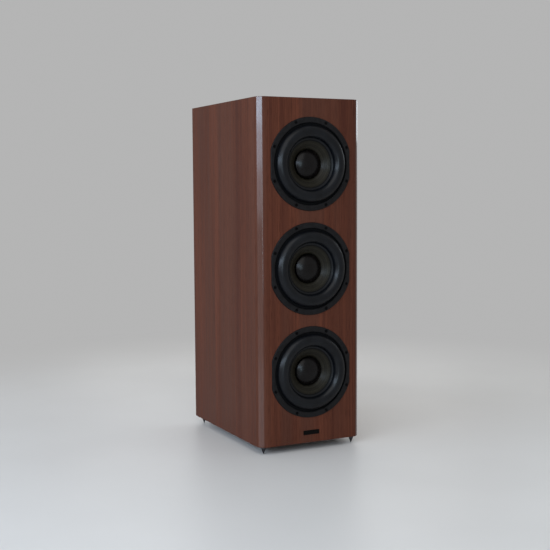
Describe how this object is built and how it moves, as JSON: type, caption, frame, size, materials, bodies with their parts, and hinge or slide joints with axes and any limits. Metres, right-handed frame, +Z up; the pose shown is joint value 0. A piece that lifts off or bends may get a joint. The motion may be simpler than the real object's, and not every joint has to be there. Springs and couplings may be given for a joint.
{
  "type": "floorstanding speaker",
  "caption": "Tall slim wood-veneered floor speaker: a column of like woofers in a round-edged front, reflex port and binding posts at the back, spiked feet; cones move in and out.",
  "frame": {"origin": "on the floor, at the middle of the whole speaker's width and depth; the spikes' points stand on Z = 0", "axes": "+X to the right as seen from the front, +Y to the back, +Z up; the front with the woofers faces -Y"},
  "size_m": [0.2744, 0.4178, 0.8393],
  "materials": {
    "veneer": "satin",
    "board": "matte",
    "felt": "matte",
    "badge": "satin",
    "port_plastic": "matte",
    "frame_paint": "matte",
    "surround_rubber": "satin",
    "cone": "satin",
    "dust_cap": "satin",
    "coil": "satin",
    "spider": "matte",
    "zinc_steel": "satin",
    "ferrite": "matte",
    "gasket": "matte",
    "black_screw": "satin",
    "brass": "satin",
    "gold": "polished",
    "knob_red": "gloss",
    "knob_black": "gloss",
    "copper": "satin",
    "capacitor": "satin",
    "wire": "satin",
    "spike_steel": "satin"
  },
  "bodies": {
    "cabinet": {"front_baffle": "veneer", "side_panel_left": "veneer", "side_panel_right": "veneer", "top_panel": "veneer", "bottom_panel": "veneer", "rear_panel": "veneer", "shelf_brace_lower": "board", "shelf_brace_upper": "board", "crossover_board": "board", "damping_lining": "felt", "badge_plate": "badge", "port_tube": "port_plastic", "terminal_cup": "port_plastic", "driver_frame_lower": "frame_paint", "surround_lower": "surround_rubber", "spider_lower": "spider", "top_plate_lower": "zinc_steel", "magnet_lower": "ferrite", "pole_plate_lower": "zinc_steel", "driver_frame_middle": "frame_paint", "surround_middle": "surround_rubber", "spider_middle": "spider", "top_plate_middle": "zinc_steel", "magnet_middle": "ferrite", "pole_plate_middle": "zinc_steel", "driver_frame_upper": "frame_paint", "surround_upper": "surround_rubber", "spider_upper": "spider", "top_plate_upper": "zinc_steel", "magnet_upper": "ferrite", "pole_plate_upper": "zinc_steel", "frame_gaskets": "gasket", "frame_screws": "black_screw", "wood_screws": "black_screw", "driver_terminals": "brass", "binding_posts": "gold", "post_insulators": "port_plastic", "post_nuts": "brass", "crossover_inductors": "copper", "crossover_capacitors": "capacitor", "speaker_wires": "wire", "spike_inserts": "brass", "spike_lock_nuts": "spike_steel"},
    "cone_lower_body": {"cone_lower": "cone", "dust_cap_lower": "dust_cap", "voice_coil_lower": "coil"},
    "cone_middle_body": {"cone_middle": "cone", "dust_cap_middle": "dust_cap", "voice_coil_middle": "coil"},
    "cone_upper_body": {"cone_upper": "cone", "dust_cap_upper": "dust_cap", "voice_coil_upper": "coil"},
    "clamp_washer_positive_body": {"clamp_washer_positive": "gold"},
    "post_knob_positive_body": {"post_knob_positive": "knob_red"},
    "clamp_washer_negative_body": {"clamp_washer_negative": "gold"},
    "post_knob_negative_body": {"post_knob_negative": "knob_black"},
    "spike_front_left_body": {"spike_front_left": "spike_steel"},
    "spike_front_right_body": {"spike_front_right": "spike_steel"},
    "spike_rear_left_body": {"spike_rear_left": "spike_steel"},
    "spike_rear_right_body": {"spike_rear_right": "spike_steel"}
  },
  "joints": [
    {"name": "cone_travel_lower", "type": "slide", "parent": "cabinet", "child": "cone_lower_body", "axis": [0, 1, 0], "range_m": [-0.007, 0.007], "stiffness_N_per_m": 1200, "deforming": ["surround_lower", "spider_lower"]},
    {"name": "cone_travel_middle", "type": "slide", "parent": "cabinet", "child": "cone_middle_body", "axis": [0, 1, 0], "range_m": [-0.007, 0.007], "stiffness_N_per_m": 1200, "deforming": ["surround_middle", "spider_middle"]},
    {"name": "cone_travel_upper", "type": "slide", "parent": "cabinet", "child": "cone_upper_body", "axis": [0, 1, 0], "range_m": [-0.007, 0.007], "stiffness_N_per_m": 1200, "deforming": ["surround_upper", "spider_upper"]},
    {"name": "clamp_travel_positive", "type": "slide", "parent": "cabinet", "child": "clamp_washer_positive_body", "axis": [0, 1, 0], "range_m": [0, 0.00501]},
    {"name": "knob_turn_positive", "type": "hinge", "parent": "clamp_washer_positive_body", "child": "post_knob_positive_body", "pos_m": [-0.019, 0.1909, 0.1383], "axis": [0, 1, 0], "range_deg": [0, 1440]},
    {"name": "clamp_travel_negative", "type": "slide", "parent": "cabinet", "child": "clamp_washer_negative_body", "axis": [0, 1, 0], "range_m": [0, 0.00501]},
    {"name": "knob_turn_negative", "type": "hinge", "parent": "clamp_washer_negative_body", "child": "post_knob_negative_body", "pos_m": [0.019, 0.1909, 0.1383], "axis": [0, 1, 0], "range_deg": [0, 1440]},
    {"name": "spike_height_front_left", "type": "slide", "parent": "cabinet", "child": "spike_front_left_body", "axis": [0, 0, -1], "range_m": [0, 0.008]},
    {"name": "spike_height_front_right", "type": "slide", "parent": "cabinet", "child": "spike_front_right_body", "axis": [0, 0, -1], "range_m": [0, 0.008]},
    {"name": "spike_height_rear_left", "type": "slide", "parent": "cabinet", "child": "spike_rear_left_body", "axis": [0, 0, -1], "range_m": [0, 0.008]},
    {"name": "spike_height_rear_right", "type": "slide", "parent": "cabinet", "child": "spike_rear_right_body", "axis": [0, 0, -1], "range_m": [0, 0.008]}
  ],
  "couplings": [
    {"joint": "clamp_travel_positive", "follows": "knob_turn_positive", "m_per_rad": 0.00019894},
    {"joint": "clamp_travel_negative", "follows": "knob_turn_negative", "m_per_rad": 0.00019894}
  ]
}
